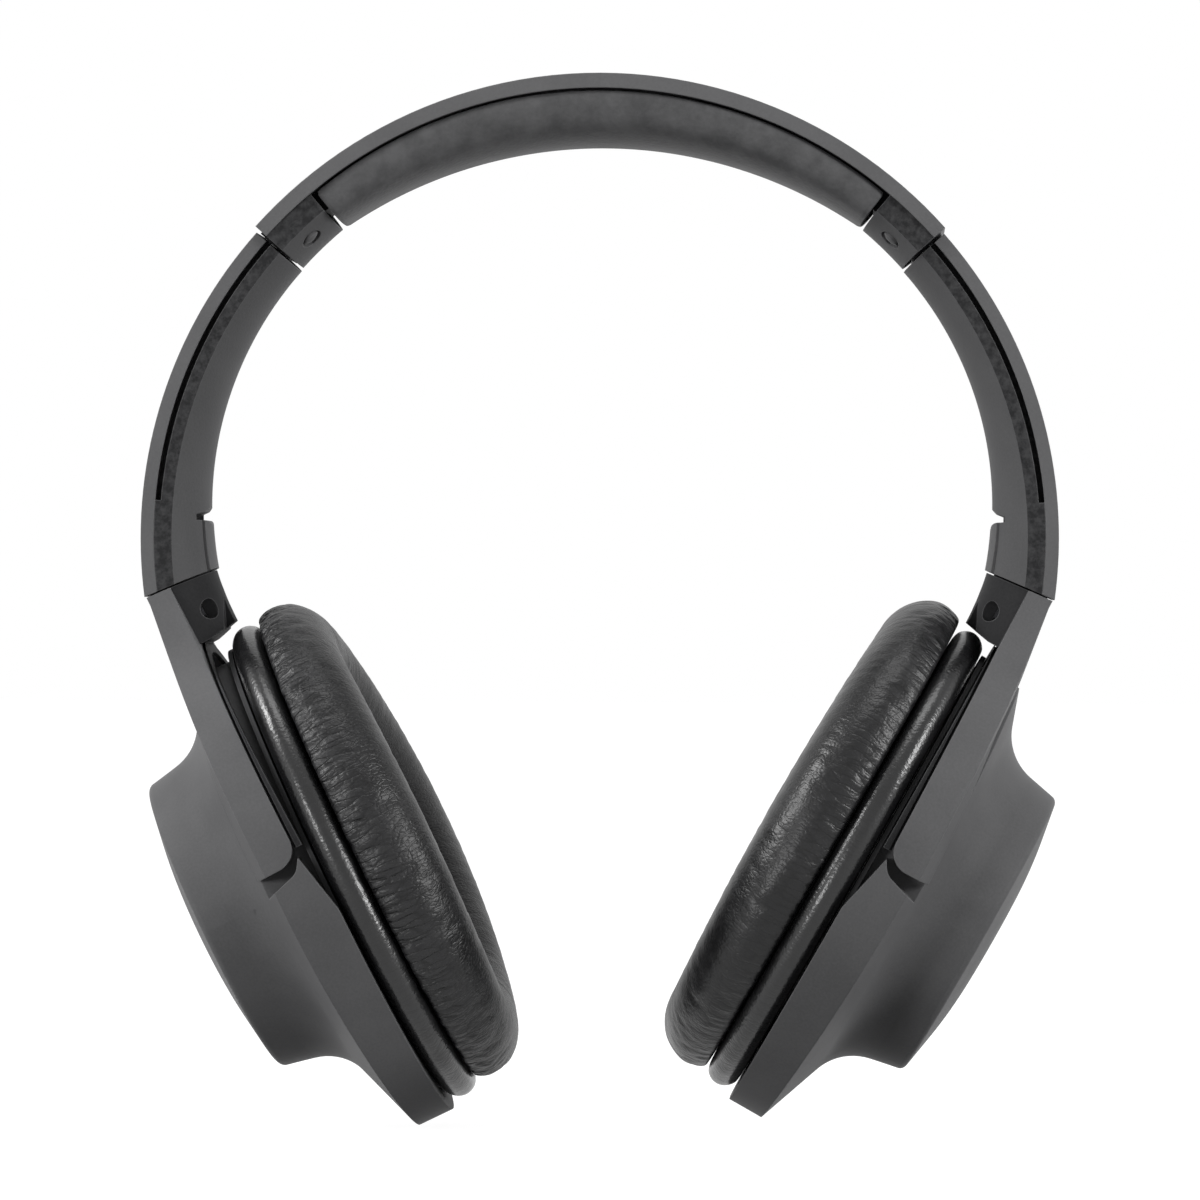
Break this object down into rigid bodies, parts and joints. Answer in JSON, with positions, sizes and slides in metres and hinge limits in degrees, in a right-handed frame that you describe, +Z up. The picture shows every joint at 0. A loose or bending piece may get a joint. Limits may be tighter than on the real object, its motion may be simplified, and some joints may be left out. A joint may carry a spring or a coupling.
{
  "type": "over-ear headphones",
  "caption": "Over-ear headphones with a padded headband, sliding arms, swivelling forked yokes, tilting deep cups and oval leatherette cushions.",
  "frame": {"origin": "where the middle of the headband's pad rests on the crown of the head", "axes": "+Z up, +X to the wearer's left, the wearer faces -Y"},
  "size_m": [0.1624, 0.082, 0.1866],
  "materials": {
    "shell": "fine matt texture, charcoal, moulded ABS",
    "inner_plastic": "black moulded ABS",
    "leatherette": "black protein leatherette over foam, soft sheen",
    "spring_steel": "black phosphated spring steel",
    "screw_steel": "black zinc",
    "screw_cap": "charcoal plug over the screw",
    "magnet": "nickel plated",
    "film": "clear polyester film",
    "ear_cloth": "black knitted mesh",
    "socket": "black, with plated contacts inside",
    "board": "green solder mask"
  },
  "bodies": {
    "headband": {"headband_cover": "shell", "headband_frame": "inner_plastic", "headband_pad": "leatherette", "spring_band": "spring_steel", "right_end_cap": "shell", "left_end_cap": "shell", "right_end_cap_screws": "screw_cap", "left_end_cap_screws": "screw_cap"},
    "right_arm": {"right_arm_outer_cover": "shell", "right_arm_inner_cover": "shell", "right_arm_tab": "shell", "right_arm_screw": "screw_steel", "right_swivel_pin": "screw_steel"},
    "right_yoke": {"right_yoke": "shell", "right_yoke_inner_cover": "shell", "right_yoke_screws": "screw_steel", "right_pivot_pins": "screw_steel"},
    "right_cup": {"right_housing": "shell", "right_baffle": "inner_plastic", "right_baffle_screws": "screw_steel", "right_driver_frame": "inner_plastic", "right_driver_magnet": "magnet", "right_driver_diaphragm": "film", "right_ear_cloth": "ear_cloth", "right_cushion_base": "leatherette", "right_cushion": "leatherette"},
    "left_arm": {"left_arm_outer_cover": "shell", "left_arm_inner_cover": "shell", "left_arm_tab": "shell", "left_arm_screw": "screw_steel", "left_swivel_pin": "screw_steel"},
    "left_yoke": {"left_yoke": "shell", "left_yoke_inner_cover": "shell", "left_yoke_screws": "screw_steel", "left_pivot_pins": "screw_steel"},
    "left_cup": {"left_housing": "shell", "left_baffle": "inner_plastic", "left_baffle_screws": "screw_steel", "left_driver_frame": "inner_plastic", "left_driver_magnet": "magnet", "left_driver_diaphragm": "film", "left_ear_cloth": "ear_cloth", "left_cushion_base": "leatherette", "left_cushion": "leatherette", "left_audio_socket": "socket", "left_circuit_board": "board"}
  },
  "joints": [
    {"name": "right_slider", "type": "hinge", "parent": "headband", "child": "right_arm", "pos_m": [0, 0, -0.0695], "axis": [0, -1, 0], "range_deg": [0, 12]},
    {"name": "right_swivel", "type": "hinge", "parent": "right_arm", "child": "right_yoke", "pos_m": [-0.07475, 0, -0.07775], "axis": [-0.3987, 0, 0.9171], "range_deg": [-90, 8]},
    {"name": "right_tilt", "type": "hinge", "parent": "right_yoke", "child": "right_cup", "pos_m": [-0.0553, 0, -0.1237], "axis": [0, 1, 0], "range_deg": [-5.2, 15.8]},
    {"name": "left_slider", "type": "hinge", "parent": "headband", "child": "left_arm", "pos_m": [0, 0, -0.0695], "axis": [0, 1, 0], "range_deg": [0, 12]},
    {"name": "left_swivel", "type": "hinge", "parent": "left_arm", "child": "left_yoke", "pos_m": [0.07475, 0, -0.07775], "axis": [-0.3987, 0, -0.9171], "range_deg": [-90, 8]},
    {"name": "left_tilt", "type": "hinge", "parent": "left_yoke", "child": "left_cup", "pos_m": [0.0553, 0, -0.1237], "axis": [0, -1, 0], "range_deg": [-1.5, 19.5]}
  ]
}
